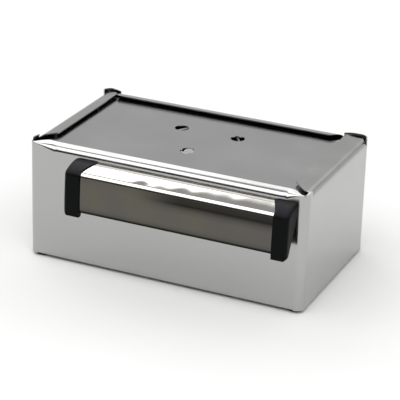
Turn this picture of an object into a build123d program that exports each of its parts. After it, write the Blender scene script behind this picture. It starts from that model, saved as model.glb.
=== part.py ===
from build123d import *
from math import cos, sin, radians
import os

os.makedirs("parts", exist_ok=True)

# ---------------------------------------------------------------- dimensions
# All in millimetres. +X right, +Y to the back, +Z up. Origin: bottom centre of
# the whole object's box. "From the left" and "from the front" distances are
# measured on the box's outer faces.
W = 195.0          # box width
D = 112.0          # box depth
H = 78.8           # box height, bottom edge to top of the lips
T = 0.8            # sheet thickness of box and follower
R_CORNER = 6.0     # outer radius of the upright corners
R_BEND = 4.5       # outer radius of the bend into the lips
EAR = 1.8          # height of the unbent wall corners over the lips

LIP_LEFT = 10.5    # lip widths, outer face to free edge
LIP_RIGHT = 16.5
LIP_FRONT = 7.0
LIP_BACK = 8.0

FOOT_H = 2.2       # what the feet stand out below the box
FLANGE = 12.0      # width of the bottom flanges
BASE_T = 1.0       # base plate thickness

PULL_P = 14.7      # how far the pull's bar stands out of the front wall
CAP_PROUD = 0.9    # how far the end caps stand proud of the bar
CAP_W_LEFT = 11.4  # end cap widths
CAP_W_RIGHT = 10.2
CAP_FLARE = 5.2    # how much wider the caps are at the wall, on top
CAP_ROUND = 2.6    # rounding of their outer rim
PULL_X0 = 33.8     # left end of the pull, from the left
PULL_X1 = 188.6    # right end of the pull, from the left
BAR_T = 1.0        # sheet thickness of the pull's bar

GAP = 1.8          # lips' underside to the follower's top
FOL_X0, FOL_X1 = 4.0, 191.0
FOL_Y0, FOL_Y1 = 4.5, 107.5
FOL_H = 7.8        # depth of the follower tray
SPR_X, SPR_Y = 95.4, 63.3   # spring axis, from the left and from the front
HOLE_PC_R = 23.5   # radius of the circle through the three openings
HOLE_R = 4.75
TONGUE_W = 7.0
TONGUE_L = 6.5
TONGUE_ANGLE = 35.0
WIRE_R = 1.0
COIL_TOP_R = 24.3
COIL_BOTTOM_R = 37.3
COIL_HALF_TURNS = 10   # half turns over which the coil narrows
COIL_START_A = 20.0    # direction of the first joint between half turns
COIL_TAIL_A = 90.0     # flat arc before the first half turn
COIL_END_A = 81.7      # flat arc after the last half turn
FOLLOWER_TONGUES = (30, 150, 270)   # directions from the spring axis
BASE_TONGUES = (65, 185, 305)

# ---------------------------------------------------------------- derived
X0 = -W / 2                                     # left face
Y0 = -(D + PULL_P + CAP_PROUD) / 2 + PULL_P + CAP_PROUD   # front face
Y1 = Y0 + D                                     # back face
YC = (Y0 + Y1) / 2
Z0 = FOOT_H                                     # bottom edge of the box
ZL = Z0 + H                                     # top of the lips
ZE = ZL + EAR                                   # top of the corners


def bx(x):
    return X0 + x


def by(y):
    return Y0 + y


def keep(builder, name):
    builder.part.label = name
    export_step(builder.part, "parts/" + name + ".step")


# ---------------------------------------------------------------- box: lips
# Each lip is a straight bend section, cut to its outline seen from above.
def lip_outline(points):
    with BuildSketch(Plane.XY.offset(ZL - R_BEND - 1)) as sk:
        with BuildLine():
            Polyline(*[(bx(x), by(y)) for x, y in points], close=True)
        make_face()
    return sk.sketch


def bend_section(plane, width):
    # local x runs inward from the outer face, local y is height
    with BuildSketch(plane) as sk:
        with BuildLine():
            Line((0, ZL - R_BEND), (T, ZL - R_BEND))
            ThreePointArc((T, ZL - R_BEND),
                          (R_BEND - (R_BEND - T) * cos(radians(45)),
                           ZL - R_BEND + (R_BEND - T) * sin(radians(45))),
                          (R_BEND, ZL - T))
            Line((R_BEND, ZL - T), (width, ZL - T))
            Line((width, ZL - T), (width, ZL))
            Line((width, ZL), (R_BEND, ZL))
            ThreePointArc((R_BEND, ZL),
                          (R_BEND - R_BEND * cos(radians(45)),
                           ZL - R_BEND + R_BEND * sin(radians(45))),
                          (0, ZL - R_BEND))
        make_face()
    return sk.sketch


FRONT_LIP = [(7.0, -1), (188.5, -1), (188.5, 2.0), (181.0, 9), (10.5, 9), (7.0, 6.0)]
LEFT_LIP = [(-1, 13.5), (1.5, 13.5), (12, 24.0), (12, 104.5), (10.0, 108.0), (7.0, 109.2),
            (4.5, 108.8), (2.0, 106.0), (-1, 106.0)]
RIGHT_LIP = [(196, 8.0), (192.5, 8.0), (177, 22.5), (177, 108.0), (180, 109.0), (190, 109.0),
             (192.5, 106.0), (196, 106.0)]
BACK_LIP = [(11.0, 113), (12.0, 103), (169.0, 103), (177.0, 111.0), (177.0, 113)]

front_section = bend_section(Plane(origin=(X0, Y0, 0), x_dir=(0, 1, 0), z_dir=(1, 0, 0)),
                             LIP_FRONT)
left_section = bend_section(Plane(origin=(X0, Y1, 0), x_dir=(1, 0, 0), z_dir=(0, -1, 0)),
                            LIP_LEFT)
right_section = bend_section(Plane(origin=(X0 + W, Y0, 0), x_dir=(-1, 0, 0),
                                   z_dir=(0, 1, 0)), LIP_RIGHT)
back_section = bend_section(Plane(origin=(X0 + W, Y1, 0), x_dir=(0, -1, 0),
                                  z_dir=(-1, 0, 0)), LIP_BACK)
front_outline = lip_outline(FRONT_LIP)
left_outline = lip_outline(LEFT_LIP)
right_outline = lip_outline(RIGHT_LIP)
back_outline = lip_outline(BACK_LIP)

with BuildPart() as lip_front:
    extrude(front_section, amount=W)
    extrude(front_outline, amount=R_BEND + 3, mode=Mode.INTERSECT)

with BuildPart() as lip_left:
    extrude(left_section, amount=D)
    extrude(left_outline, amount=R_BEND + 3, mode=Mode.INTERSECT)

with BuildPart() as lip_right:
    extrude(right_section, amount=D)
    extrude(right_outline, amount=R_BEND + 3, mode=Mode.INTERSECT)

with BuildPart() as lip_back:
    extrude(back_section, amount=W)
    extrude(back_outline, amount=R_BEND + 3, mode=Mode.INTERSECT)

# ---------------------------------------------------------------- box: shell
# fixing points
CAP_SCREW_X = (PULL_X0 + CAP_W_LEFT / 2, PULL_X1 - CAP_W_RIGHT / 2)
CAP_SCREW_Z = Z0 + 67.5
FOOT_XY = [(7.5, 7.5), (W - 7.5, 7.5), (7.5, D - 7.5), (W - 7.5, D - 7.5)]
BASE_SCREW_XY = [(7.5, 30), (W - 7.5, 30), (7.5, D - 30), (W - 7.5, D - 30)]

# the stretches of wall top between the corners, where the lips bend in
SPAN_FRONT = (7.0, 188.5)
SPAN_BACK = (11.0, 177.0)
SPAN_LEFT = (13.5, 106.0)
SPAN_RIGHT = (8.0, 106.0)

with BuildPart() as body_shell:
    with BuildSketch(Plane.XY.offset(Z0)):
        with Locations((0, YC)):
            RectangleRounded(W, D, R_CORNER)
            RectangleRounded(W - 2 * T, D - 2 * T, R_CORNER - T, mode=Mode.SUBTRACT)
    extrude(amount=H + EAR)
    # take the wall tops down to where the bends start
    with BuildSketch(Plane.XY.offset(ZL - R_BEND)):
        with Locations(((bx(SPAN_FRONT[0]) + bx(SPAN_FRONT[1])) / 2, Y0)):
            Rectangle(SPAN_FRONT[1] - SPAN_FRONT[0], 4 * T)
        with Locations(((bx(SPAN_BACK[0]) + bx(SPAN_BACK[1])) / 2, Y1)):
            Rectangle(SPAN_BACK[1] - SPAN_BACK[0], 4 * T)
        with Locations((X0, (by(SPAN_LEFT[0]) + by(SPAN_LEFT[1])) / 2)):
            Rectangle(4 * T, SPAN_LEFT[1] - SPAN_LEFT[0])
        with Locations((X0 + W, (by(SPAN_RIGHT[0]) + by(SPAN_RIGHT[1])) / 2)):
            Rectangle(4 * T, SPAN_RIGHT[1] - SPAN_RIGHT[0])
    extrude(amount=R_BEND + EAR + 1, mode=Mode.SUBTRACT)
    add(lip_front.part)
    add(lip_left.part)
    add(lip_right.part)
    add(lip_back.part)
    # bottom flanges, slit at the corners
    with BuildSketch(Plane.XY.offset(Z0)):
        with Locations((0, YC)):
            RectangleRounded(W, D, R_CORNER)
            Rectangle(W - 2 * FLANGE, D - 2 * FLANGE, mode=Mode.SUBTRACT)
        for sx in (-1, 1):
            for sy in (-1, 1):
                with Locations(Location((sx * (W / 2 - 12.5), YC + sy * (D / 2 - 12.5), 0),
                                        (0, 0, 45 * sx * sy))):
                    Rectangle(5.0, 0.7, mode=Mode.SUBTRACT)
    extrude(amount=T)
    # screw holes for the pull, through the front wall
    with BuildSketch(Plane(origin=(0, Y0 - 1, 0), x_dir=(1, 0, 0), z_dir=(0, 1, 0))):
        for x in CAP_SCREW_X:
            with Locations((bx(x), -CAP_SCREW_Z)):
                Circle(2.1)
    extrude(amount=3, mode=Mode.SUBTRACT)
    # holes for feet and base screws, through the flanges
    with BuildSketch(Plane.XY.offset(Z0 - 1)):
        for x, y in FOOT_XY:
            with Locations((bx(x), by(y))):
                Circle(2.05)
        for x, y in BASE_SCREW_XY:
            with Locations((bx(x), by(y))):
                Circle(1.7)
    extrude(amount=T + 2, mode=Mode.SUBTRACT)
keep(body_shell, "body_shell")

with BuildPart() as back_seam_strap:
    with Locations((bx(W / 2), Y1 - T, Z0 + T + BASE_T + 1.2)):
        Box(18, T, 64, align=(Align.CENTER, Align.MAX, Align.MIN))
    fillet(back_seam_strap.edges().filter_by(Axis.Y), 2.5)
keep(back_seam_strap, "back_seam_strap")

# ---------------------------------------------------------------- base plate
BASE_Z = Z0 + T
COIL_BOTTOM_Z = BASE_Z + BASE_T + WIRE_R + 0.05
FOL_TOP = ZL - T - GAP
COIL_TOP_Z = FOL_TOP - T - WIRE_R - 0.05
SPRING_AXIS = (bx(SPR_X), by(SPR_Y))


def coil_rho(j):
    # distance of joint j between half turns from the axis, narrowing upward
    j = min(max(j, 0), COIL_HALF_TURNS)
    return COIL_BOTTOM_R + (COIL_TOP_R - COIL_BOTTOM_R) * j / COIL_HALF_TURNS


def bottom_coil_r(a):
    # radius of the flat bottom coil in direction a
    psi = (a - COIL_START_A + 180) % 360 - 180
    if psi < 0:
        return coil_rho(0)
    off = (coil_rho(0) - coil_rho(1)) / 2
    return (coil_rho(0) + coil_rho(1)) / 2 + off * cos(radians(psi))


BASE_HINGE_R = {a: bottom_coil_r(a) - 5.3 for a in BASE_TONGUES}
FOL_HINGE_R = HOLE_PC_R - HOLE_R + 0.2

with BuildPart() as base_plate:
    with BuildSketch(Plane.XY.offset(BASE_Z)):
        with Locations((0, YC)):
            RectangleRounded(W - 2 * T - 1.0, D - 2 * T - 1.0, R_CORNER - T)
        for a in BASE_TONGUES:
            r = BASE_HINGE_R[a] - 0.2 + HOLE_R
            with Locations((SPRING_AXIS[0] + r * cos(radians(a)),
                            SPRING_AXIS[1] + r * sin(radians(a)))):
                Circle(HOLE_R, mode=Mode.SUBTRACT)
        for x, y in BASE_SCREW_XY:
            with Locations((bx(x), by(y))):
                Circle(1.55, mode=Mode.SUBTRACT)
    extrude(amount=BASE_T)
    for a in BASE_TONGUES:
        loc = (Pos(SPRING_AXIS[0], SPRING_AXIS[1], BASE_Z) * Rot(0, 0, a)
               * Pos(BASE_HINGE_R[a] - 0.6, 0, 0) * Rot(0, -TONGUE_ANGLE, 0))
        with Locations(loc):
            Box(TONGUE_L + 0.6, TONGUE_W, BASE_T,
                align=(Align.MIN, Align.CENTER, Align.MIN))
keep(base_plate, "base_plate")

# ---------------------------------------------------------------- follower
FOL_CX = (bx(FOL_X0) + bx(FOL_X1)) / 2
FOL_CY = (by(FOL_Y0) + by(FOL_Y1)) / 2
DIMPLE_XY = [(5.6, 26), (5.6, 86), (W - 5.6, 26), (W - 5.6, 86)]

with BuildPart() as follower_plate:
    with BuildSketch(Plane.XY.offset(FOL_TOP - FOL_H)):
        with Locations((FOL_CX, FOL_CY)):
            RectangleRounded(FOL_X1 - FOL_X0, FOL_Y1 - FOL_Y0, 5.0)
    extrude(amount=FOL_H)
    fillet(follower_plate.faces().sort_by(Axis.Z)[-1].edges(), 1.5)
    offset(amount=-T, openings=follower_plate.faces().sort_by(Axis.Z)[0])
    with BuildSketch(Plane.XY.offset(FOL_TOP - T - 0.5)):
        for a in FOLLOWER_TONGUES:
            with Locations((SPRING_AXIS[0] + HOLE_PC_R * cos(radians(a)),
                            SPRING_AXIS[1] + HOLE_PC_R * sin(radians(a)))):
                Circle(HOLE_R)
    extrude(amount=T + 1, mode=Mode.SUBTRACT)
    for a in FOLLOWER_TONGUES:
        loc = (Pos(SPRING_AXIS[0], SPRING_AXIS[1], FOL_TOP) * Rot(0, 0, a)
               * Pos(FOL_HINGE_R - 0.6, 0, 0) * Rot(0, TONGUE_ANGLE, 0))
        with Locations(loc):
            Box(TONGUE_L + 0.6, TONGUE_W, T,
                align=(Align.MIN, Align.CENTER, Align.MAX))
    # stop dimples that meet the underside of the side lips
    for x, y in DIMPLE_XY:
        with Locations((bx(x), by(y), FOL_TOP - 0.75)):
            Cylinder(1.1, GAP - 0.05 + 0.75, align=(Align.CENTER, Align.CENTER, Align.MIN))
keep(follower_plate, "follower_plate")

# ---------------------------------------------------------------- spring
# The wire is a chain of half turns. Each lies in a plane that tilts about the
# horizontal line across its two ends, so neighbours meet in one direction.
def coil_rim(a, r, z):
    return Vector(SPRING_AXIS[0] + r * cos(radians(a)),
                  SPRING_AXIS[1] + r * sin(radians(a)), z)


def coil_z(j):
    # the first half turn and the last one are flat
    j = min(max(j - 1, 0), COIL_HALF_TURNS - 1)
    return COIL_BOTTOM_Z + (COIL_TOP_Z - COIL_BOTTOM_Z) * j / (COIL_HALF_TURNS - 1)


def half_turn(j):
    a = COIL_START_A + 180 * j
    p = coil_rim(a, coil_rho(j), coil_z(j))
    q = coil_rim(a + 180, coil_rho(j + 1), coil_z(j + 1))
    side = Vector(cos(radians(a + 90)), sin(radians(a + 90)), 0)
    return p, (p + q) * 0.5 + side * ((q - p).length / 2), q


def flat_arc(a, span, r, z):
    return [coil_rim(a + span * k, r, z) for k in (0, 0.5, 1)]


with BuildLine() as wire_path:
    ThreePointArc(*flat_arc(COIL_START_A - COIL_TAIL_A, COIL_TAIL_A, COIL_BOTTOM_R,
                            COIL_BOTTOM_Z))
    for j in range(COIL_HALF_TURNS + 1):
        ThreePointArc(*half_turn(j))
    ThreePointArc(*flat_arc(COIL_START_A + 180 * (COIL_HALF_TURNS + 1), COIL_END_A,
                            COIL_TOP_R, COIL_TOP_Z))

with BuildPart() as follower_spring:
    for arc in wire_path.edges():
        with BuildSketch(Plane(origin=arc @ 0, z_dir=arc % 0)):
            Circle(WIRE_R)
        sweep(path=arc)
keep(follower_spring, "follower_spring")

# ---------------------------------------------------------------- pull
# Section of the pull: local x is how far a point stands out of the front wall,
# local y is height over the box's bottom edge.
BAR_TOP_BACK = (0.0, 72.8)
BAR_TOP_MID = (5.78, 71.8)
BAR_TOP_END = (11.3, 69.8)
BAR_CREASE = (12.87, 68.5)
BAR_FRONT_TOP = (13.6, 66.6)
BAR_FRONT_MID = (14.42, 54.91)
BAR_BOTTOM = (PULL_P, 43.2)
BAR_FLANGE_Z = 61.0
HEM = 3.8


def section_plane(x):
    return Plane(origin=(bx(x), Y0, Z0), x_dir=(0, -1, 0), z_dir=(-1, 0, 0))


BAR_X0 = PULL_X0 + CAP_W_LEFT
BAR_X1 = PULL_X1 - CAP_W_RIGHT

with BuildPart() as handle_bar:
    with BuildSketch(section_plane(BAR_X1)):
        with BuildLine():
            Line((0, BAR_FLANGE_Z), BAR_TOP_BACK)
            ThreePointArc(BAR_TOP_BACK, BAR_TOP_MID, BAR_TOP_END)
            ThreePointArc(BAR_TOP_END, BAR_CREASE, BAR_FRONT_TOP)
            ThreePointArc(BAR_FRONT_TOP, BAR_FRONT_MID, BAR_BOTTOM)
            Line(BAR_BOTTOM, (PULL_P - HEM, BAR_BOTTOM[1]))
            Line((PULL_P - HEM, BAR_BOTTOM[1]), (PULL_P - HEM, BAR_BOTTOM[1] + BAR_T))
            Line((PULL_P - HEM, BAR_BOTTOM[1] + BAR_T), (PULL_P - BAR_T, BAR_BOTTOM[1] + BAR_T))
            ThreePointArc((PULL_P - BAR_T, BAR_BOTTOM[1] + BAR_T),
                          (BAR_FRONT_MID[0] - BAR_T, BAR_FRONT_MID[1]), (12.61, 66.49))
            ThreePointArc((12.61, 66.49), (12.06, 67.92), (10.88, 68.9))
            ThreePointArc((10.88, 68.9), (5.52, 70.83), (BAR_T, 71.71))
            Line((BAR_T, 71.71), (BAR_T, BAR_FLANGE_Z))
            Line((BAR_T, BAR_FLANGE_Z), (0, BAR_FLANGE_Z))
        make_face()
    extrude(amount=BAR_X1 - BAR_X0)
keep(handle_bar, "handle_bar")

# outline of the caps, a little outside the bar's
CAP_TOP_BACK = (0.0, 73.3)
CAP_TOP_MID = (5.9, 72.5)
CAP_TOP_END = (11.75, 70.5)
CAP_CREASE = (13.6, 68.95)
CAP_FRONT_TOP = (14.45, 66.7)
CAP_FRONT_MID = (15.27, 54.0)
CAP_BOTTOM = (PULL_P + CAP_PROUD, 41.2)


def cap_outline(plane):
    with BuildSketch(plane) as sk:
        with BuildLine():
            Line((0, 64.0), CAP_TOP_BACK)
            ThreePointArc(CAP_TOP_BACK, CAP_TOP_MID, CAP_TOP_END)
            ThreePointArc(CAP_TOP_END, CAP_CREASE, CAP_FRONT_TOP)
            ThreePointArc(CAP_FRONT_TOP, CAP_FRONT_MID, CAP_BOTTOM)
            Line(CAP_BOTTOM, (CAP_BOTTOM[0], 39.8))
            Line((CAP_BOTTOM[0], 39.8), (12.9, 39.8))
            Line((12.9, 39.8), (0, 64.0))
        make_face()
    return sk.sketch


def tongue_outline(plane):
    # fits inside the bar's section with a little room
    c = BAR_T + 0.12
    with BuildSketch(plane) as sk:
        with BuildLine():
            Line((c, 65.0), (c, 71.55))
            ThreePointArc((c, 71.55), (5.4, 70.7), (10.8, 68.75))
            Line((10.8, 68.75), (12.35, 66.9))
            ThreePointArc((12.35, 66.9), (13.35, 55.0), (13.5, 46.0))
            Line((13.5, 46.0), (c, 65.0))
        make_face()
    return sk.sketch


def flare_outline(plane):
    # between the cap's top line and the bar's top line
    r = 0.05
    with BuildSketch(plane) as sk:
        with BuildLine():
            Line((0, BAR_TOP_BACK[1] + r), CAP_TOP_BACK)
            ThreePointArc(CAP_TOP_BACK, CAP_TOP_MID, CAP_TOP_END)
            Line(CAP_TOP_END, (BAR_TOP_END[0] + 0.03, BAR_TOP_END[1] + r))
            ThreePointArc((BAR_TOP_END[0] + 0.03, BAR_TOP_END[1] + r),
                          (BAR_TOP_MID[0], BAR_TOP_MID[1] + r), (0, BAR_TOP_BACK[1] + r))
        make_face()
    return sk.sketch


def cap_flare(x_inner, s):
    # the strip of the cap that laps over the bar's top, widening to the wall
    strip = flare_outline(section_plane(x_inner - s * 0.5))
    with BuildPart() as flare:
        extrude(strip, amount=-s * (CAP_FLARE + 0.5))
        with BuildSketch(Plane.XY.offset(Z0 + 66)):
            with BuildLine():
                Polyline((bx(x_inner - s * 1.0), Y0 + 1), (bx(x_inner + s * CAP_FLARE), Y0 + 1),
                         (bx(x_inner + s * CAP_FLARE), Y0), (bx(x_inner), Y0 - 11.4),
                         (bx(x_inner - s * 1.0), Y0 - 11.4), close=True)
            make_face()
        extrude(amount=10, mode=Mode.INTERSECT)
    return flare


def end_cap(x_outer, x_inner):
    # x_outer is the free end, x_inner where the bar starts
    s = 1 if x_inner > x_outer else -1
    width = abs(x_inner - x_outer)
    body = cap_outline(section_plane(x_outer))
    tongue = tongue_outline(section_plane(x_inner - s * 0.01))
    flare = cap_flare(x_inner, s)
    with BuildPart() as cap:
        extrude(body, amount=-s * width)
        outer = cap.faces().sort_by(Axis.X)[0 if s > 0 else -1]
        rim = [e for e in outer.edges() if e.center().Y < Y0 - 0.5
               and not (e.length > 20 and e.center().Y > Y0 - 12)]
        fillet(rim, CAP_ROUND)
        extrude(tongue, amount=-s * 6)
        add(flare.part)
        # blind hole for the screw from inside the box
        with BuildSketch(Plane(origin=(0, Y0, 0), x_dir=(1, 0, 0), z_dir=(0, -1, 0))):
            with Locations((bx(x_outer + s * width / 2), CAP_SCREW_Z)):
                Circle(1.9)
        extrude(amount=9.5, mode=Mode.SUBTRACT)
    return cap


handle_cap_left = end_cap(PULL_X0, BAR_X0)
keep(handle_cap_left, "handle_cap_left")
handle_cap_right = end_cap(PULL_X1, BAR_X1)
keep(handle_cap_right, "handle_cap_right")


# ---------------------------------------------------------------- fixings
def pull_washer(x):
    with BuildPart() as washer:
        with BuildSketch(Plane(origin=(bx(x), Y0 + T, CAP_SCREW_Z), x_dir=(1, 0, 0),
                               z_dir=(0, 1, 0))):
            Circle(4.5)
            Circle(2.05, mode=Mode.SUBTRACT)
        extrude(amount=0.6)
    return washer


def pull_screw(x):
    with BuildPart() as screw:
        with BuildSketch(Plane(origin=(bx(x), Y0 + T + 0.6, CAP_SCREW_Z), x_dir=(1, 0, 0),
                               z_dir=(0, 1, 0))):
            Circle(3.6)
        extrude(amount=1.7)
        fillet(screw.faces().sort_by(Axis.Y)[-1].edges(), 1.0)
        with BuildSketch(Plane(origin=(bx(x), Y0 + T + 0.6, CAP_SCREW_Z), x_dir=(1, 0, 0),
                               z_dir=(0, -1, 0))):
            Circle(1.85)
        extrude(amount=T + 0.6 + 8.5)
        # cross recess
        with Locations((bx(x), Y0 + T + 0.6 + 1.7, CAP_SCREW_Z)):
            Box(3.4, 1.8, 0.7, mode=Mode.SUBTRACT)
            Box(0.7, 1.8, 3.4, mode=Mode.SUBTRACT)
    return screw


handle_washer_left = pull_washer(CAP_SCREW_X[0])
keep(handle_washer_left, "handle_washer_left")
handle_washer_right = pull_washer(CAP_SCREW_X[1])
keep(handle_washer_right, "handle_washer_right")
handle_screw_left = pull_screw(CAP_SCREW_X[0])
keep(handle_screw_left, "handle_screw_left")
handle_screw_right = pull_screw(CAP_SCREW_X[1])
keep(handle_screw_right, "handle_screw_right")


def base_screw(x, y):
    with BuildPart() as screw:
        with BuildSketch(Plane.XY.offset(Z0 - 1.5)):
            with Locations((bx(x), by(y))):
                Circle(2.9)
        extrude(amount=1.5)
        fillet(screw.faces().sort_by(Axis.Z)[0].edges(), 0.9)
        with BuildSketch(Plane.XY.offset(Z0)):
            with Locations((bx(x), by(y))):
                Circle(1.5)
        extrude(amount=T + BASE_T + 2.4)
        with Locations((bx(x), by(y), Z0 - 1.5)):
            Box(2.8, 0.6, 1.6, mode=Mode.SUBTRACT)
            Box(0.6, 2.8, 1.6, mode=Mode.SUBTRACT)
    return screw


def rubber_foot(x, y):
    with BuildPart() as foot:
        with BuildSketch(Plane.XY):
            with Locations((bx(x), by(y))):
                Circle(5.2)
        extrude(amount=FOOT_H)
        fillet(foot.faces().sort_by(Axis.Z)[0].edges(), 0.7)
        with BuildSketch(Plane.XY.offset(FOOT_H)):
            with Locations((bx(x), by(y))):
                Circle(2.0)
        extrude(amount=T - 0.05)
    return foot


PLACES = ("front_left", "front_right", "back_left", "back_right")
for place, (x, y) in zip(PLACES, BASE_SCREW_XY):
    keep(base_screw(x, y), "base_screw_" + place)
for place, (x, y) in zip(PLACES, FOOT_XY):
    keep(rubber_foot(x, y), "foot_" + place)
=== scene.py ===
import math

import bmesh
import bpy
import numpy as np
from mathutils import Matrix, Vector


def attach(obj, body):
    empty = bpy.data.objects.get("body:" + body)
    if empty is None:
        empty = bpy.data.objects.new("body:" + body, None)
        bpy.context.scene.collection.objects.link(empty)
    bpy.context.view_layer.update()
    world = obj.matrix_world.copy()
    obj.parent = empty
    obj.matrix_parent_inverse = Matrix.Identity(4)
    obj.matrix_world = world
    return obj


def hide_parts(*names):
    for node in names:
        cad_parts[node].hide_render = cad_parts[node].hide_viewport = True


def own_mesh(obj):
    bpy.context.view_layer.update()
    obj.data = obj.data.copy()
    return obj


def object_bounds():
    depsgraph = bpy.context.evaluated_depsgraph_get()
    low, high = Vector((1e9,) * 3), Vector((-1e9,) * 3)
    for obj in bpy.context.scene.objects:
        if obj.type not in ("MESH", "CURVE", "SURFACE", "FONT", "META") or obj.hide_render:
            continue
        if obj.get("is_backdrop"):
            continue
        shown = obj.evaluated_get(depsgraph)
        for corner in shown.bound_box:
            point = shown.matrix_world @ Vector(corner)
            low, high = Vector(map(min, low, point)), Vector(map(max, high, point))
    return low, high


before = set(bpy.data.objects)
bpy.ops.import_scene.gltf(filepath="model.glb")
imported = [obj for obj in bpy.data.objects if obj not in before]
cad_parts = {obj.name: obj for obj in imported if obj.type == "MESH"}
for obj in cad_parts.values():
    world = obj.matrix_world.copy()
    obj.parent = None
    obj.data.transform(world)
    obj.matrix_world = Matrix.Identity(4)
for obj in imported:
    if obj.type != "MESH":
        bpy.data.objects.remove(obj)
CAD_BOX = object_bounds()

# ------------------------------------------------------------------ measures
# Millimetres in the box's own corner frame: x from the left face, y from the
# front face, z from the bottom edge. pt() turns them into the row frame.
W, D, T = 195.0, 112.0, 0.8
RC = 6.0                     # upright corner radius
ZL = 78.8                    # top of the lips
RB = 4.5                     # bend radius of the lips
X_OFF, Y_OFF, Z_OFF = -97.5, -48.2, 2.2
FOLLOWER_TOP = 76.2


def pt(x, y, z):
    return ((x + X_OFF) / 1000.0, (y + Y_OFF) / 1000.0, (z + Z_OFF) / 1000.0)


def smooth(a, b, v):
    t = min(1.0, max(0.0, (v - a) / (b - a)))
    return t * t * (3 - 2 * t)


def lerp_list(v, points):
    xs = [p[0] for p in points]
    ys = [p[1] for p in points]
    return float(np.interp(v, xs, ys))


def mesh_object(name, verts, faces, body, material, smooth_shade=True):
    me = bpy.data.meshes.new(name)
    me.from_pydata(verts, [], faces)
    me.validate()
    ob = bpy.data.objects.new(name, me)
    bpy.context.scene.collection.objects.link(ob)
    bm = bmesh.new()
    bm.from_mesh(me)
    bmesh.ops.remove_doubles(bm, verts=bm.verts, dist=1e-6)
    bmesh.ops.recalc_face_normals(bm, faces=bm.faces)
    bm.to_mesh(me)
    bm.free()
    for p in me.polygons:
        p.use_smooth = smooth_shade
    me.materials.append(material)
    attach(ob, body)
    return ob


def apply_modifiers(ob):
    bpy.context.view_layer.update()
    deps = bpy.context.evaluated_depsgraph_get()
    me = bpy.data.meshes.new_from_object(ob.evaluated_get(deps))
    mats = [m for m in ob.data.materials]
    ob.modifiers.clear()
    ob.data = me
    me.materials.clear()
    for m in mats:
        me.materials.append(m)


# ------------------------------------------------------------------ materials
def node_material(name):
    m = bpy.data.materials.new(name)
    m.use_nodes = True
    nt = m.node_tree
    bsdf = nt.nodes["Principled BSDF"]
    return m, nt, bsdf


def add(nt, kind, **values):
    n = nt.nodes.new(kind)
    for k, v in values.items():
        setattr(n, k, v)
    return n


def steel(name, base, rough, rough_spread=0.04, wave=0.0, wave_scale=18.0, grain=0.0,
          grain_axis=(1, 60, 60), tint=0.03, smudge=0.03):
    """Stainless sheet: fine grain, faint waviness of the sheet, slow changes in tone."""
    m, nt, bsdf = node_material(name)
    bsdf.inputs["Metallic"].default_value = 1.0
    coord = add(nt, "ShaderNodeTexCoord")
    slow = add(nt, "ShaderNodeTexNoise")
    slow.inputs["Scale"].default_value = 9.0
    slow.inputs["Detail"].default_value = 3.0
    nt.links.new(coord.outputs["Object"], slow.inputs["Vector"])
    ramp = add(nt, "ShaderNodeValToRGB")
    ramp.color_ramp.elements[0].position = 0.3
    ramp.color_ramp.elements[1].position = 0.7
    lo = [c * (1 - tint) for c in base]
    hi = [min(1, c * (1 + tint)) for c in base]
    ramp.color_ramp.elements[0].color = (*lo, 1)
    ramp.color_ramp.elements[1].color = (*hi, 1)
    nt.links.new(slow.outputs["Fac"], ramp.inputs["Fac"])
    nt.links.new(ramp.outputs["Color"], bsdf.inputs["Base Color"])
    smear = add(nt, "ShaderNodeTexNoise")
    smear.inputs["Scale"].default_value = 34.0
    smear.inputs["Detail"].default_value = 5.0
    nt.links.new(coord.outputs["Object"], smear.inputs["Vector"])
    mr = add(nt, "ShaderNodeMapRange")
    mr.inputs["From Min"].default_value = 0.35
    mr.inputs["From Max"].default_value = 0.7
    mr.inputs["To Min"].default_value = max(0.02, rough - rough_spread)
    mr.inputs["To Max"].default_value = rough + rough_spread + smudge
    nt.links.new(smear.outputs["Fac"], mr.inputs["Value"])
    nt.links.new(mr.outputs["Result"], bsdf.inputs["Roughness"])
    last = None
    if grain:
        mp = add(nt, "ShaderNodeMapping")
        mp.inputs["Scale"].default_value = grain_axis
        nt.links.new(coord.outputs["Object"], mp.inputs["Vector"])
        g = add(nt, "ShaderNodeTexNoise")
        g.inputs["Scale"].default_value = 60.0
        g.inputs["Detail"].default_value = 4.0
        nt.links.new(mp.outputs["Vector"], g.inputs["Vector"])
        b = add(nt, "ShaderNodeBump")
        b.inputs["Strength"].default_value = grain
        b.inputs["Distance"].default_value = 0.00002
        nt.links.new(g.outputs["Fac"], b.inputs["Height"])
        last = b
    if wave:
        w = add(nt, "ShaderNodeTexNoise")
        w.inputs["Scale"].default_value = wave_scale
        w.inputs["Detail"].default_value = 1.0
        nt.links.new(coord.outputs["Object"], w.inputs["Vector"])
        b = add(nt, "ShaderNodeBump")
        b.inputs["Strength"].default_value = 1.0
        b.inputs["Distance"].default_value = wave
        nt.links.new(w.outputs["Fac"], b.inputs["Height"])
        if last:
            nt.links.new(last.outputs["Normal"], b.inputs["Normal"])
        last = b
    if last:
        nt.links.new(last.outputs["Normal"], bsdf.inputs["Normal"])
    return m


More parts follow.
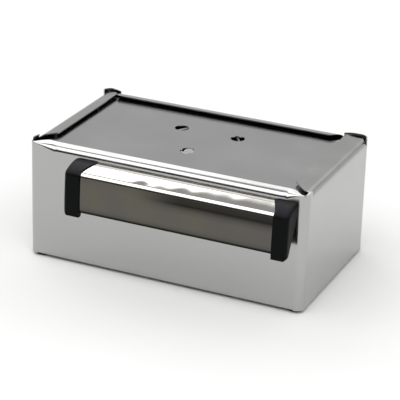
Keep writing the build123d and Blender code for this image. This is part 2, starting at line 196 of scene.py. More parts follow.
def plastic(name, colour, rough, speck=0.00004, scale=900.0):
    """Moulded plastic or rubber with a fine texture."""
    m, nt, bsdf = node_material(name)
    coord = add(nt, "ShaderNodeTexCoord")
    n = add(nt, "ShaderNodeTexNoise")
    n.inputs["Scale"].default_value = scale
    n.inputs["Detail"].default_value = 3.0
    nt.links.new(coord.outputs["Object"], n.inputs["Vector"])
    b = add(nt, "ShaderNodeBump")
    b.inputs["Strength"].default_value = 0.35
    b.inputs["Distance"].default_value = speck
    nt.links.new(n.outputs["Fac"], b.inputs["Height"])
    nt.links.new(b.outputs["Normal"], bsdf.inputs["Normal"])
    s = add(nt, "ShaderNodeTexNoise")
    s.inputs["Scale"].default_value = 40.0
    s.inputs["Detail"].default_value = 4.0
    nt.links.new(coord.outputs["Object"], s.inputs["Vector"])
    ramp = add(nt, "ShaderNodeValToRGB")
    ramp.color_ramp.elements[0].position = 0.3
    ramp.color_ramp.elements[1].position = 0.75
    ramp.color_ramp.elements[0].color = (*[c * 0.85 for c in colour], 1)
    ramp.color_ramp.elements[1].color = (*[c * 1.25 for c in colour], 1)
    nt.links.new(s.outputs["Fac"], ramp.inputs["Fac"])
    nt.links.new(ramp.outputs["Color"], bsdf.inputs["Base Color"])
    mr = add(nt, "ShaderNodeMapRange")
    mr.inputs["From Min"].default_value = 0.3
    mr.inputs["From Max"].default_value = 0.7
    mr.inputs["To Min"].default_value = rough - 0.05
    mr.inputs["To Max"].default_value = rough + 0.08
    nt.links.new(s.outputs["Fac"], mr.inputs["Value"])
    nt.links.new(mr.outputs["Result"], bsdf.inputs["Roughness"])
    return m


SHELL = steel("shell_steel", (0.43, 0.43, 0.423), 0.17, 0.03, wave=0.00012, wave_scale=14)
PLATE = steel("follower_steel", (0.44, 0.44, 0.444), 0.16, 0.02, wave=0.00002, wave_scale=10,
              tint=0.01, smudge=0.02)
BASE = steel("base_steel", (0.32, 0.32, 0.315), 0.32, 0.04, grain=0.3)
# pull steel: the top keeps this bright colour; below the crease the front is painted dark as a stand-in for reflection
BAR = steel("pull_steel", (0.62, 0.60, 0.57), 0.07, 0.02, wave=0.00002, wave_scale=16,
            tint=0.02, smudge=0.02)
WIRE = steel("spring_wire", (0.28, 0.275, 0.27), 0.28, 0.05, grain=0.4)
FIXING = steel("fixing_steel", (0.34, 0.34, 0.34), 0.25, 0.05, grain=0.3)
CAP = plastic("cap_plastic", (0.0020, 0.0024, 0.0025), 0.36)
CAP.node_tree.nodes["Principled BSDF"].inputs["Specular IOR Level"].default_value = 0.07


def dust_and_sheen_on_top(m, colour):
    """A thin pale dust film and a painted sheen on faces that look up."""
    nt = m.node_tree
    bsdf = nt.nodes["Principled BSDF"]
    old = bsdf.inputs["Base Color"].links[0].from_socket
    geo = add(nt, "ShaderNodeNewGeometry")
    sp = add(nt, "ShaderNodeSeparateXYZ")
    nt.links.new(geo.outputs["Normal"], sp.inputs["Vector"])
    up = add(nt, "ShaderNodeMapRange")
    up.inputs["From Min"].default_value = 0.45
    up.inputs["From Max"].default_value = 0.95
    nt.links.new(sp.outputs["Z"], up.inputs["Value"])
    mx = add(nt, "ShaderNodeMix")
    mx.data_type = "RGBA"
    nt.links.new(up.outputs["Result"], mx.inputs["Factor"])
    nt.links.new(old, mx.inputs["A"])
    mx.inputs["B"].default_value = (*colour, 1)
    nt.links.new(mx.outputs["Result"], bsdf.inputs["Base Color"])


# pale dust film and painted sheen on the caps' upward faces
dust_and_sheen_on_top(CAP, (0.0155, 0.0145, 0.018))
RUBBER = plastic("foot_rubber", (0.012, 0.012, 0.012), 0.7, speck=0.00008, scale=1500)


def paint_pull_front_reflection_and_shade(m):
    """Painted reflection and shade on the pull's front plate: the front is painted far darker than the top as a
    stand-in for the dark reflection it shows, with a painted reflection band along the top of the front under the
    crease that fades out to the left, and painted shade along the hem at the bottom."""
    nt = m.node_tree
    bsdf = nt.nodes["Principled BSDF"]
    old = bsdf.inputs["Base Color"].links[0].from_socket
    coord = add(nt, "ShaderNodeTexCoord")
    sep_ = add(nt, "ShaderNodeSeparateXYZ")
    nt.links.new(coord.outputs["Object"], sep_.inputs["Vector"])
    painted_shade_ramp_banded = add(nt, "ShaderNodeValToRGB")
    el = painted_shade_ramp_banded.color_ramp.elements
    lo_z, hi_z = 0.040, 0.080

    def at(z_mm):
        return ((z_mm + 2.2) / 1000.0 - lo_z) / (hi_z - lo_z)

    # painted shade along the hem at the bottom, and a painted reflection band under the crease
    grey = [(43.2, 0.10), (44.2, 0.16), (45.2, 0.80), (48.0, 1.0), (56.0, 1.0), (59.0, 0.80),
            (61.0, 0.50), (62.4, 0.20), (62.9, 0.15), (63.5, 0.26), (66.9, 0.30)]
    el[0].position = at(grey[0][0])
    el[0].color = (*[grey[0][1]] * 3, 1)
    el[1].position = at(grey[1][0])
    el[1].color = (*[grey[1][1]] * 3, 1)
    for z, v in grey[2:]:
        e = el.new(at(z))
        e.color = (v, v, v, 1)
    mr = add(nt, "ShaderNodeMapRange")
    mr.inputs["From Min"].default_value = lo_z
    mr.inputs["From Max"].default_value = hi_z
    nt.links.new(sep_.outputs["Z"], mr.inputs["Value"])
    nt.links.new(mr.outputs["Result"], painted_shade_ramp_banded.inputs["Fac"])
    # left part: no painted reflection band, only the painted hem shade
    painted_shade_ramp_plain = add(nt, "ShaderNodeValToRGB")
    pe = painted_shade_ramp_plain.color_ramp.elements
    pe[0].position = at(43.2)
    pe[0].color = (0.10, 0.10, 0.10, 1)
    pe[1].position = at(44.2)
    pe[1].color = (0.16, 0.16, 0.16, 1)
    for z, v in ((45.2, 0.80), (48.0, 1.0), (62.0, 1.0), (66.9, 0.88)):
        e = pe.new(at(z))
        e.color = (v, v, v, 1)
    nt.links.new(mr.outputs["Result"], painted_shade_ramp_plain.inputs["Fac"])
    across = add(nt, "ShaderNodeMapRange")
    across.interpolation_type = "SMOOTHSTEP"
    across.inputs["From Min"].default_value = (78 - 97.5) / 1000.0
    across.inputs["From Max"].default_value = (118 - 97.5) / 1000.0
    nt.links.new(sep_.outputs["X"], across.inputs["Value"])
    painted_reflection_band = add(nt, "ShaderNodeMix")
    painted_reflection_band.data_type = "RGBA"
    nt.links.new(across.outputs["Result"], painted_reflection_band.inputs["Factor"])
    nt.links.new(painted_shade_ramp_plain.outputs["Color"], painted_reflection_band.inputs["A"])
    nt.links.new(painted_shade_ramp_banded.outputs["Color"], painted_reflection_band.inputs["B"])
    # painted dark front: a colour near 0.11 stands in for the dark reflection the front shows, with slow warm and cool
    # patches
    patch = add(nt, "ShaderNodeTexNoise")
    patch.inputs["Scale"].default_value = 45.0
    patch.inputs["Detail"].default_value = 2.0
    nt.links.new(coord.outputs["Object"], patch.inputs["Vector"])
    tone = add(nt, "ShaderNodeValToRGB")
    tone.color_ramp.elements[0].position = 0.35
    tone.color_ramp.elements[0].color = (0.112, 0.108, 0.086, 1)
    tone.color_ramp.elements[1].position = 0.65
    tone.color_ramp.elements[1].color = (0.106, 0.100, 0.092, 1)
    nt.links.new(patch.outputs["Fac"], tone.inputs["Fac"])
    front = add(nt, "ShaderNodeMix")
    front.data_type = "RGBA"
    front.blend_type = "MULTIPLY"
    front.inputs["Factor"].default_value = 1.0
    nt.links.new(tone.outputs["Color"], front.inputs["A"])
    nt.links.new(painted_reflection_band.outputs["Result"], front.inputs["B"])
    # above 67 mm the top keeps the bright steel colour; below it the front takes the painted shade, a lit and a shaded
    # copy of one steel
    over = add(nt, "ShaderNodeMapRange")
    over.inputs["From Min"].default_value = (66.9 + 2.2) / 1000.0
    over.inputs["From Max"].default_value = (67.5 + 2.2) / 1000.0
    nt.links.new(sep_.outputs["Z"], over.inputs["Value"])
    final = add(nt, "ShaderNodeMix")
    final.data_type = "RGBA"
    nt.links.new(over.outputs["Result"], final.inputs["Factor"])
    nt.links.new(front.outputs["Result"], final.inputs["A"])
    nt.links.new(old, final.inputs["B"])
    nt.links.new(final.outputs["Result"], bsdf.inputs["Base Color"])


# painted reflection and shade on the pull's front
paint_pull_front_reflection_and_shade(BAR)

for name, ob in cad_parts.items():
    if name == "follower_plate":
        mat = PLATE
    elif name == "base_plate" or name == "back_seam_strap":
        mat = BASE
    elif name == "handle_bar":
        mat = BAR
    elif name.startswith("handle_cap"):
        mat = CAP
    elif name.startswith("foot_"):
        mat = RUBBER
    elif name == "follower_spring":
        mat = WIRE
    elif name == "body_shell":
        mat = SHELL
    else:
        mat = FIXING
    if not ob.data.materials:
        ob.data.materials.append(mat)
    for i in range(len(ob.material_slots)):
        ob.material_slots[i].material = mat


# ------------------------------------------------------------------ shell
# One sheet as rows going up the wall and over each bend, station by station
# round the box. Lips are cut free of the corners, which stay upright.
BEND_ROWS = 20
WALL_ROWS = [0.0, 1.2, 6.0, 20.0, 40.0, 60.0, 70.0, 73.6, 74.3]
ZB = ZL - RB


def profile(r, theta, t):
    """Inward offset and rise after length t past the start of the bend."""
    if theta < 1e-4:
        return 0.0, t
    arc = r * theta
    if t <= arc:
        a = t / r
        return r * (1 - math.cos(a)), r * math.sin(a)
    e = t - arc
    return (r * (1 - math.cos(theta)) + e * math.sin(theta),
            r * math.sin(theta) + e * math.cos(theta))


def length_for(r, theta, w):
    """Length past the start of the bend at which the sheet has come in by w."""
    full = r * (1 - math.cos(theta))
    if w <= full:
        return r * math.acos(1 - w / r)
    return r * theta + (w - full) / math.sin(theta)


def station(x, y, n, theta, t_end, r=RB, skew=None, rise=0.0):
    return {"p": (x, y), "n": n, "theta": theta, "t": t_end, "r": r, "skew": skew, "rise": rise}


def row_lengths(st):
    """Lengths past ZB at which a station's rows sit: a few on the straight part,
    most of them on the bend."""
    n = BEND_ROWS
    if not st["rise"] and st["r"] == RB:
        return [st["t"] * k / n for k in range(1, n + 1)]
    arc = st["r"] * st["theta"]
    a, b = st["rise"] + 0.05 * arc, st["rise"] + arc
    b = min(b, st["t"] * 0.97)
    out = [a * k / 4 for k in range(1, 5)]
    out += [a + (b - a) * k / 11 for k in range(1, 12)]
    m = n - len(out)
    out += [b + (st["t"] - b) * k / m for k in range(1, m + 1)]
    return out


def small_bend(x, y, n, w, r):
    """Station whose sheet goes straight up and then folds in over w with radius r."""
    theta = math.radians(90 - FRONT_TILT)
    rise = RB - r
    return station(x, y, n, theta, rise + length_for(r, theta, w), r=r, rise=rise)


FRONT_TILT, LEFT_TILT, RIGHT_TILT, BACK_TILT = 9.0, 1.5, 0.5, 3.0


def lip_station(side, s):
    """Station on the lip of a side at distance s along that side."""
    if side == "front":
        theta = math.radians(90 - FRONT_TILT)
        w = 7.0
        r = RB
        if s > 180:
            w = 7.0 - 4.4 * ((s - 180.0) / 9.0) ** 2.0
            r = 1.0 + (RB - 1.0) * smooth(190.5, 180.0, s)
        if s < 20:
            w = min(7.0, 3.4 + 0.60 * (s - 6.0)) if s < 13 else 7.0
            r = 0.9 + (RB - 0.9) * smooth(5.0, 20.0, s)
        return small_bend(s, 0, (0, -1), w, r)
    if side == "left":
        theta = math.radians(90 - LEFT_TILT)
        w = min(10.5, 1.5 + (s - 13.5))
        skew = None
        if s > 98:
            k = (s - 98) / 8.0
            skew = lambda w_, k=k: k * lerp_list(w_, [(0, 0), (2, 0), (3.2, 1.6), (4.5, 2.7), (6, 3.1), (7.5, 3.0), (9, 2.2), (10.5, 0.6)])
        return station(0, s, (-1, 0), theta, length_for(RB, theta, w), skew=skew)
    if side == "right":
        theta = math.radians(90 - RIGHT_TILT)
        w = 2.5 + 14.0 * min(1.0, max(0.0, (s - 8.0) / 13.1)) ** 0.72
        skew = None
        if s > 98:
            k = (s - 98) / 8.0
            skew = lambda w_, k=k: k * lerp_list(w_, [(0, 0), (2, 0), (3.5, 2.0), (5, 2.9), (14.5, 2.9), (16.5, 1.6)])
        return station(W, s, (1, 0), theta, length_for(RB, theta, w), skew=skew)
    theta = math.radians(90 - BACK_TILT)
    w = 8.0
    if s > 169.5:
        w = max(1.0, 8.0 - (s - 169.5) * 0.95)
    if s < 13.0:
        w = 8.0 - 1.5 * (1 - (s - 11.0) / 2.0) ** 2
    return station(s, D, (0, 1), theta, length_for(RB, theta, w))


def ear(corner, d):
    """Height of an upright corner over the lips; d runs along the perimeter
    from the corner's start, counter-clockwise seen from above."""
    length = {"bl": 27.0, "fl": 18.0, "fr": 18.0, "br": 30.0}[corner]
    u = min(1.0, max(0.0, d / length))
    peak = {"bl": 1.8, "fl": 1.6, "fr": 1.5, "br": 1.7}[corner]
    rise = 1 - abs(2 * u - 1) ** 2.6
    return 0.35 + (peak - 0.35) * rise


def corner_points(cx, cy, a0):
    out = []
    for i in range(1, 12):
        a = math.radians(a0 + 90.0 * i / 12)
        out.append((cx + RC * math.cos(a), cy + RC * math.sin(a), (math.cos(a), math.sin(a))))
    return out


def upright(x, y, n, h):
    return station(x, y, n, 0.0, ZL + h - ZB)


runs = []        # each run is a list of stations; sheet is cut between runs above ZB


def spread(a, b, n):
    return [a + (b - a) * i / n for i in range(n + 1)]


# counter-clockwise from the seam at the middle of the back
SEAM = 97.5
back_left = [lip_station("back", s) for s in
             [SEAM - 0.08, 90, 70, 50, 30, 20, 15, 13, 12.3, 11.6, 11.0]]
# back-left corner: upright from x = 11 on the back to y = 106 on the left
bl = []
d = 0.0
for x in spread(11.0, RC, 5):
    bl.append(upright(x, D, (0, 1), ear("bl", 11.0 - x)))
for i, (x, y, n) in enumerate(corner_points(RC, D - RC, 90)):
    bl.append(upright(x, y, n, ear("bl", 5 + 9.42 * (i + 1) / 12)))
bl.append(upright(0, 106, (-1, 0), ear("bl", 14.6)))
left = [lip_station("left", s) for s in
        [106, 105, 103.5, 102, 100, 98, 90, 75, 60, 45, 32, 25, 22.5, 21, 19, 17, 15.5, 14.3, 13.5]]
# front-left corner: upright along the left, folding into the front lip from the
# middle of the corner on
fl = []
for y in spread(13.5, RC, 6):
    fl.append(upright(0, y, (-1, 0), 0.15 + 0.55 * smooth(13.5, 8.0, y)))
for i, (x, y, n) in enumerate(corner_points(RC, RC, 180)):
    u = (i + 1) / 12
    if u < 0.5:
        fl.append(upright(x, y, n, 0.70 - 1.3 * u))
    else:
        w = lerp_list(u, [(0.5, 0.35), (0.6, 0.8), (0.7, 1.8), (0.8, 2.5), (1.0, 3.4)])
        fl.append(small_bend(x, y, n, w, 0.3 + 0.6 * (u - 0.5) / 0.5))
front = [lip_station("front", s) for s in
         [6, 7, 8, 9, 10, 11, 12, 13, 14, 15, 16, 17, 18, 19, 20] + spread(24, 176, 38)
         + [178, 180, 181.5, 183, 184.5, 185.6, 186.6, 187.4, 188.0, 189.0]]
fr = []
for i, (x, y, n) in enumerate(corner_points(W - RC, RC, 270)):
    u = (i + 1) / 12
    if u < 0.42:
        fr.append(small_bend(x, y, n, lerp_list(u, [(0.0, 2.6), (0.2, 1.4), (0.42, 0.3)]),
                             1.0 - 1.6 * u))
    else:
        fr.append(upright(x, y, n, 0.1 + 1.1 * smooth(0.42, 1.0, u)))
for y in spread(RC, 8.0, 2):
    fr.append(upright(W, y, (1, 0), ear("fr", 11.0 + (y - RC) * 2.5)))
right = [lip_station("right", s) for s in
         [8, 9, 10, 11.5, 13, 15, 17, 19, 20.5, 21.2, 24, 32, 45, 60, 75, 90, 98, 100, 102, 103.5, 105, 106]]
br = [upright(W, 106, (1, 0), ear("br", 3.5))]
for i, (x, y, n) in enumerate(corner_points(W - RC, D - RC, 0)):
    br.append(upright(x, y, n, ear("br", 4 + 9.42 * (i + 1) / 12)))
for x in spread(W - RC, 177.0, 8):
    br.append(upright(x, D, (0, 1), ear("br", 13.5 + (W - RC - x) * 1.3)))
back_right = [lip_station("back", s) for s in
              [177, 176, 174.5, 173, 171.5, 170, 169.5, 165, 150, 130, 110, SEAM + 0.08]]
runs = [back_left, bl, left, fl + front + fr, right, br, back_right]

verts, faces = [], []
flat = [s for r in runs for s in r]
rows = []
for st in flat:
    x, y = st["p"]
    nx, ny = st["n"]
    tx, ty = -ny, nx              # along the wall, counter-clockwise
    col = []
    for z in WALL_ROWS:
        verts.append(pt(x, y, z))
        col.append(len(verts) - 1)
    for t in row_lengths(st):
        if t <= st["rise"]:
            w, dz = 0.0, t
        else:
            w, dz = profile(st["r"], st["theta"], t - st["rise"])
            dz += st["rise"]
        sk = 0.0
        if st["skew"]:
            sk = st["skew"](w)
        px, py = x - nx * w, y - ny * w + (sk if nx else 0.0)
        verts.append(pt(px, py, ZB + dz))
        col.append(len(verts) - 1)
    rows.append(col)
n_wall = len(WALL_ROWS)
index = 0
for r in runs:
    for i in range(len(r)):
        a = index + i
        if a + 1 >= len(rows):
            break
        last_of_run = i == len(r) - 1
        top = n_wall - 1 if last_of_run else n_wall + BEND_ROWS - 1
        for k in range(top):
            faces.append((rows[a][k], rows[a + 1][k], rows[a + 1][k + 1], rows[a][k + 1]))
    index += len(r)

# bottom flanges, mitred at the corners, one sheet with the walls
FL_R, FL_W = 1.2, 12.0


def flange(side):
    out = []
    if side in ("front", "back"):
        ends = [st for st in flat if abs(st["n"][0]) < 1e-9 and st["n"][1] == (-1 if side == "front" else 1)]
    else:
        ends = [st for st in flat if abs(st["n"][1]) < 1e-9 and st["n"][0] == (-1 if side == "left" else 1)]
    return ends


for side in ("front", "back", "left", "right"):
    sts = [st for st in flange(side)]
    cols = []
    seen = set()
    for st in sts:
        x, y = st["p"]
        if (round(x, 4), round(y, 4)) in seen:
            continue
        seen.add((round(x, 4), round(y, 4)))
        nx, ny = st["n"]
        along = x if side in ("front", "back") else y
        lim = W if side in ("front", "back") else D
        room = min(along, lim - along) - 0.6
        col = []
        for w, z in ((0.0, 1.2), (0.09, 0.74), (0.35, 0.35), (0.74, 0.09), (1.2, 0.0), (2.5, 0.0),
                     (FL_W * 0.5, 0.0), (FL_W, 0.0)):
            shift = max(0.0, w - room)
            if side in ("front", "back"):
                sx = x + (shift if along < lim / 2 else -shift)
                col.append(pt(sx, y - ny * w, z))
            else:
                sy = y + (shift if along < lim / 2 else -shift)
                col.append(pt(x - nx * w, sy, z))
        cols.append((along, col))
    if side == "back":
        groups = [[c for c in cols if c[0] < SEAM], [c for c in cols if c[0] > SEAM]]
    else:
        groups = [cols]
    for g in groups:
        g.sort(key=lambda c: c[0])
        for (a0, c0), (a1, c1) in zip(g, g[1:]):
            base = len(verts)
            verts.extend(c0)
            verts.extend(c1)
            m = len(c0)
            for k in range(m - 1):
                faces.append((base + k, base + m + k, base + m + k + 1, base + k + 1))

# the lowest wall row belongs to the flange bends now
drop = {rows[i][0] for i in range(len(rows)) if abs(flat[i]["n"][0]) < 1e-9 or abs(flat[i]["n"][1]) < 1e-9}
faces = [f for f in faces if not (sum(1 for v in f if v in drop) == 2)]

shell = mesh_object("body_shell_skin", verts, faces, "case", SHELL)
bm = bmesh.new()
bm.from_mesh(shell.data)
bmesh.ops.recalc_face_normals(bm, faces=bm.faces)
# outward on the front wall
out = [f for f in bm.faces if abs(f.calc_center_median().y - pt(0, 0, 0)[1]) < 1e-5]
if out and out[0].normal.y > 0:
    bmesh.ops.reverse_faces(bm, faces=bm.faces)
bm.to_mesh(shell.data)
bm.free()
mod = shell.modifiers.new("sheet", "SOLIDIFY")
mod.thickness = T / 1000.0
mod.offset = -1.0
mod.use_even_offset = True
mod = shell.modifiers.new("edge", "BEVEL")
mod.width = 0.00018
mod.segments = 2
mod.limit_method = "ANGLE"
mod.angle_limit = math.radians(50)
mod = shell.modifiers.new("normals", "WEIGHTED_NORMAL")
mod.keep_sharp = False
mod.weight = 60
apply_modifiers(shell)
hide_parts("body_shell")


# ------------------------------------------------------------------ pull
def arc_points(a, m, b, n):
    """Points on the circle arc from a over m to b."""
    (ax, ay), (mx, my), (bx_, by_) = a, m, b
    d = 2 * (ax * (my - by_) + mx * (by_ - ay) + bx_ * (ay - my))
    ux = ((ax * ax + ay * ay) * (my - by_) + (mx * mx + my * my) * (by_ - ay) + (bx_ * bx_ + by_ * by_) * (ay - my)) / d
    uy = ((ax * ax + ay * ay) * (bx_ - mx) + (mx * mx + my * my) * (ax - bx_) + (bx_ * bx_ + by_ * by_) * (mx - ax)) / d
    r = math.hypot(ax - ux, ay - uy)
    a0, a1 = math.atan2(ay - uy, ax - ux), math.atan2(by_ - uy, bx_ - ux)
    am = math.atan2(my - uy, mx - ux)
    while a1 - a0 > math.pi:
        a1 -= 2 * math.pi
    while a1 - a0 < -math.pi:
        a1 += 2 * math.pi
    return [(ux + r * math.cos(a0 + (a1 - a0) * i / n), uy + r * math.sin(a0 + (a1 - a0) * i / n))
            for i in range(n + 1)]


PULL_A, PULL_B = 45.2, 178.4       # bar between the caps, from the left
outer = (arc_points((0.0, 72.8), (5.78, 71.8), (11.3, 69.8), 16)
         + arc_points((11.3, 69.8), (12.87, 68.5), (13.6, 66.6), 14)[1:]
         + arc_points((13.6, 66.6), (14.42, 54.91), (14.7, 43.2), 20)[1:])
inner = (arc_points((13.7, 44.2), (13.42, 54.91), (12.61, 66.49), 16)
         + arc_points((12.61, 66.49), (12.06, 67.92), (10.88, 68.9), 8)[1:]
         + arc_points((10.88, 68.9), (5.52, 70.83), (1.0, 71.71), 10)[1:])
# the bottom edge is folded back into a hem
hem = [(14.62, 43.06), (14.48, 43.0), (13.5, 43.0), (11.2, 43.0), (10.98, 43.1), (10.9, 43.3), (10.9, 44.0), (11.1, 44.2)]
hem = [(o, max(z, 43.2)) for o, z in hem]
section = outer + [(14.55, 43.2), (12.5, 43.2), (11.05, 43.2), (10.9, 43.35), (10.9, 44.05), (11.05, 44.2), (12.5, 44.2)] + inner + [(1.0, 66.0), (1.0, 61.15), (0.85, 61.0), (0.15, 61.0), (0.0, 61.15), (0.0, 66.0)]
bar_xs = [PULL_A, PULL_A + 0.15] + spread(PULL_A + 0.6, PULL_B - 0.6, 110) + [PULL_B - 0.15, PULL_B]
rng = np.random.default_rng(7)
waves = [(rng.uniform(14, 60), rng.uniform(0, 6.28), rng.uniform(0.006, 0.02)) for _ in range(5)]


def sheet_wave(x, k):
    return sum(a * math.sin(2 * math.pi * x / l + p + k * 0.35) for l, p, a in waves)


verts, faces = [], []
m = len(section)
for i, x in enumerate(bar_xs):
    shrink = 0.12 if i in (0, len(bar_xs) - 1) else 0.0
    for k, (o, z) in enumerate(section):
        w = 0.0
        if 3 <= k <= len(outer) - 6 and not shrink:
            edge = min(1.0, (x - PULL_A) / 6.0, (PULL_B - x) / 6.0)
            w = -abs(edge) * (0.05 + 0.8 * sheet_wave(x, k / 6.0))
            w *= min(1.0, (k - 2) / 5.0, (len(outer) - 5 - k) / 5.0)
        if k < 16:
            verts.append(pt(x, -o, z + w))
        else:
            verts.append(pt(x, -o - w * 1.0, z))
for i in range(len(bar_xs) - 1):
    for k in range(m):
        k2 = (k + 1) % m
        faces.append((i * m + k, i * m + k2, (i + 1) * m + k2, (i + 1) * m + k))
faces.append(tuple(range(m)))
faces.append(tuple(reversed(range((len(bar_xs) - 1) * m, len(bar_xs) * m))))
bar = mesh_object("pull_bar_sheet", verts, faces, "case", BAR)
mod = bar.modifiers.new("tri", "TRIANGULATE")
mod.min_vertices = 5
mod = bar.modifiers.new("normals", "WEIGHTED_NORMAL")
mod.keep_sharp = False
mod.weight = 60
for e in bar.data.edges:
    pass
apply_modifiers(bar)
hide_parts("handle_bar")


# ------------------------------------------------------------------ spring
AX, AY = 95.4, 63.3
SPRING_BOTTOM, SPRING_TOP = 2.85, 74.35
HALVES, START_A, TAIL_A, END_A = 10, 20.0, 90.0, 81.7


def wire_points():
    rho = lambda j: 37.3 + (24.3 - 37.3) * min(max(j, 0), HALVES) / HALVES
    zed = lambda j: SPRING_BOTTOM + (SPRING_TOP - SPRING_BOTTOM) * min(max(j - 1, 0), HALVES - 1) / (HALVES - 1)
    out = []
    rim = lambda a, r, z: np.array([AX + r * math.cos(math.radians(a)), AY + r * math.sin(math.radians(a)), z])
    for i in range(0, 12):
        out.append(rim(START_A - TAIL_A + TAIL_A * i / 12, 37.3, SPRING_BOTTOM))
    for j in range(HALVES + 1):
        a = START_A + 180 * j
        p, q = rim(a, rho(j), zed(j)), rim(a + 180, rho(j + 1), zed(j + 1))
        c = (p + q) / 2
        side = np.array([math.cos(math.radians(a + 90)), math.sin(math.radians(a + 90)), 0.0])
        r = np.linalg.norm(q - p) / 2
        for i in range(24):
            f = math.pi * i / 24
            out.append(c + (p - c) * math.cos(f) + side * r * math.sin(f))
    a = START_A + 180 * (HALVES + 1)
    for i in range(0, 12):
        out.append(rim(a + END_A * i / 11, 24.3, SPRING_TOP))
    return out


def tube(points, radius, segs=14):
    pts = [np.array(p, float) for p in points]
    n = len(pts)
    tang = []
    for i in range(n):
        d = pts[min(i + 1, n - 1)] - pts[max(i - 1, 0)]
        tang.append(d / np.linalg.norm(d))
    up = np.array([0, 0, 1.0])
    vs, fs = [], []
    for i in range(n):
        side = np.cross(tang[i], up)
        side /= np.linalg.norm(side)
        u2 = np.cross(side, tang[i])
        for k in range(segs):
            a = 2 * math.pi * k / segs
            p = pts[i] + radius * (math.cos(a) * side + math.sin(a) * u2)
            vs.append(pt(*p))
    for i in range(n - 1):
        for k in range(segs):
            k2 = (k + 1) % segs
            fs.append((i * segs + k, i * segs + k2, (i + 1) * segs + k2, (i + 1) * segs + k))
    for end, rev in ((0, True), (n - 1, False)):
        c = len(vs)
        vs.append(pt(*pts[end]))
        for k in range(segs):
            a, b = end * segs + k, end * segs + (k + 1) % segs
            fs.append((c, b, a) if rev else (c, a, b))
    return vs, fs


vs, fs = tube(wire_points(), 1.0)
spring = mesh_object("spring_wire_coil", vs, fs, "case", WIRE)
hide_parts("follower_spring")
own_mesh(spring)


# ------------------------------------------------------------------ floor
me = bpy.data.meshes.new("floor")
s = 6.0
me.from_pydata([(-s, -s, 0), (s, -s, 0), (s, s, 0), (-s, s, 0)], [], [(0, 1, 2, 3)])
floor = bpy.data.objects.new("floor", me)
bpy.context.scene.collection.objects.link(floor)
fm, nt, bsdf = node_material("floor_paper")
fc = add(nt, "ShaderNodeTexCoord")
fn = add(nt, "ShaderNodeTexNoise")
fn.inputs["Scale"].default_value = 3.0
nt.links.new(fc.outputs["Object"], fn.inputs["Vector"])
fr_ = add(nt, "ShaderNodeValToRGB")
fr_.color_ramp.elements[0].color = (0.70, 0.70, 0.70, 1)
fr_.color_ramp.elements[1].color = (0.72, 0.72, 0.72, 1)
nt.links.new(fn.outputs["Fac"], fr_.inputs["Fac"])
nt.links.new(fr_.outputs["Color"], bsdf.inputs["Base Color"])
bsdf.inputs["Roughness"].default_value = 1.0
bsdf.inputs["Specular IOR Level"].default_value = 0.0
me.materials.append(fm)
floor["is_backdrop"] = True


# ------------------------------------------------------------------ light
world = bpy.data.worlds.new("studio")
bpy.context.scene.world = world
world.use_nodes = True
wt = world.node_tree
wt.nodes.clear()
out_ = wt.nodes.new("ShaderNodeOutputWorld")
bg = wt.nodes.new("ShaderNodeBackground")
wt.links.new(bg.outputs["Background"], out_.inputs["Surface"])
tc = wt.nodes.new("ShaderNodeTexCoord")
sep = wt.nodes.new("ShaderNodeSeparateXYZ")
wt.links.new(tc.outputs["Generated"], sep.inputs["Vector"])


def ramp_node(points):
    r = wt.nodes.new("ShaderNodeValToRGB")
    el = r.color_ramp.elements
    while len(el) > 1:
        el.remove(el[-1])
    el[0].position = points[0][0]
    el[0].color = (*points[0][1], 1)
    for p, c in points[1:]:
        e = el.new(p)
        e.color = (*c, 1)
    return r


FULL = 3.0        # radiance of a ramp colour of 1


def g(v, warm=0.0):
    return (min(1.0, v * (1 + warm) / FULL), v / FULL, v * (1 - warm) / FULL)


# Two broad softboxes, one high at the back and one high in front, with a grey
# gap between them that runs at a slant; a quiet horizon.
back_ramp = ramp_node([(0.0, g(0.75)), (0.20, g(0.82)), (0.30, g(0.61)), (0.44, g(0.61)), (0.50, g(0.80)), (0.55, g(1.0)), (0.60, g(2.6)), (0.66, g(2.9)), (1.0, g(2.7))])
front_ramp = ramp_node([(0.0, g(0.05)), (0.40, g(0.05)), (0.47, g(0.5)), (0.53, g(2.3)), (0.6, g(2.8, 0.01)), (1.0, g(2.8))])
gap_ramp = ramp_node([(0.0, g(0.7)), (0.3, g(0.9)), (0.5, g(1.3)), (0.72, g(1.3)), (0.84, g(0.42)), (1.0, g(0.40))])
for r_ in (back_ramp, front_ramp, gap_ramp):
    wt.links.new(sep.outputs["Z"], r_.inputs["Fac"])
edge = wt.nodes.new("ShaderNodeMapRange")      # where the back softbox ends
edge.inputs["From Min"].default_value = -0.42
edge.inputs["From Max"].default_value = -0.335
edge.inputs["To Min"].default_value = 0.20
edge.inputs["To Max"].default_value = 0.68
wt.links.new(sep.outputs["X"], edge.inputs["Value"])
past = wt.nodes.new("ShaderNodeMath")
past.operation = "SUBTRACT"
wt.links.new(sep.outputs["Y"], past.inputs[0])
wt.links.new(edge.outputs["Result"], past.inputs[1])
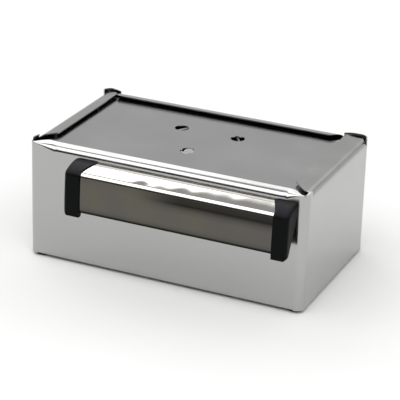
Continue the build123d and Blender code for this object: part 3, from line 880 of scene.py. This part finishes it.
to_back = wt.nodes.new("ShaderNodeMapRange")
to_back.inputs["From Min"].default_value = -0.02
to_back.inputs["From Max"].default_value = 0.05
wt.links.new(past.outputs["Value"], to_back.inputs["Value"])
to_front = wt.nodes.new("ShaderNodeMapRange")
to_front.inputs["From Min"].default_value = -0.05
to_front.inputs["From Max"].default_value = -0.15
wt.links.new(sep.outputs["Y"], to_front.inputs["Value"])
mix1 = wt.nodes.new("ShaderNodeMix")
mix1.data_type = "RGBA"
wt.links.new(to_back.outputs["Result"], mix1.inputs["Factor"])
wt.links.new(gap_ramp.outputs["Color"], mix1.inputs["A"])
wt.links.new(back_ramp.outputs["Color"], mix1.inputs["B"])
mix = wt.nodes.new("ShaderNodeMix")
mix.data_type = "RGBA"
wt.links.new(to_front.outputs["Result"], mix.inputs["Factor"])
wt.links.new(mix1.outputs["Result"], mix.inputs["A"])
wt.links.new(front_ramp.outputs["Color"], mix.inputs["B"])
wt.links.new(mix.outputs["Result"], bg.inputs["Color"])
bg.inputs["Strength"].default_value = FULL


# ------------------------------------------------------------------ camera
cam_data = bpy.data.cameras.new("camera")
cam = bpy.data.objects.new("camera", cam_data)
bpy.context.scene.collection.objects.link(cam)
cam_data.sensor_width = 36.0
cam_data.lens = 164.4
cam_data.clip_start = 0.01
cam_data.shift_x = 0.00225
cam_data.shift_y = -0.01325
fwd = Vector((-0.3737, 0.8393, -0.3949)).normalized()
right0 = fwd.cross(Vector((0, 0, 1))).normalized()
up0 = right0.cross(fwd).normalized()
rho_ = math.radians(1.68)
rightv = right0 * math.cos(rho_) + up0 * math.sin(rho_)
upv = up0 * math.cos(rho_) - right0 * math.sin(rho_)
from mathutils import Matrix
rot = Matrix((rightv, upv, -fwd)).transposed().to_4x4()
cam.matrix_world = Matrix.Translation((0.4528, -1.0092, 0.5201)) @ rot
bpy.context.scene.camera = cam
bpy.context.scene.view_settings.view_transform = "Standard"

lists = lambda b: [[float(c) for c in v] for v in b]
{"cad": lists(CAD_BOX), "visual": lists(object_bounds())}
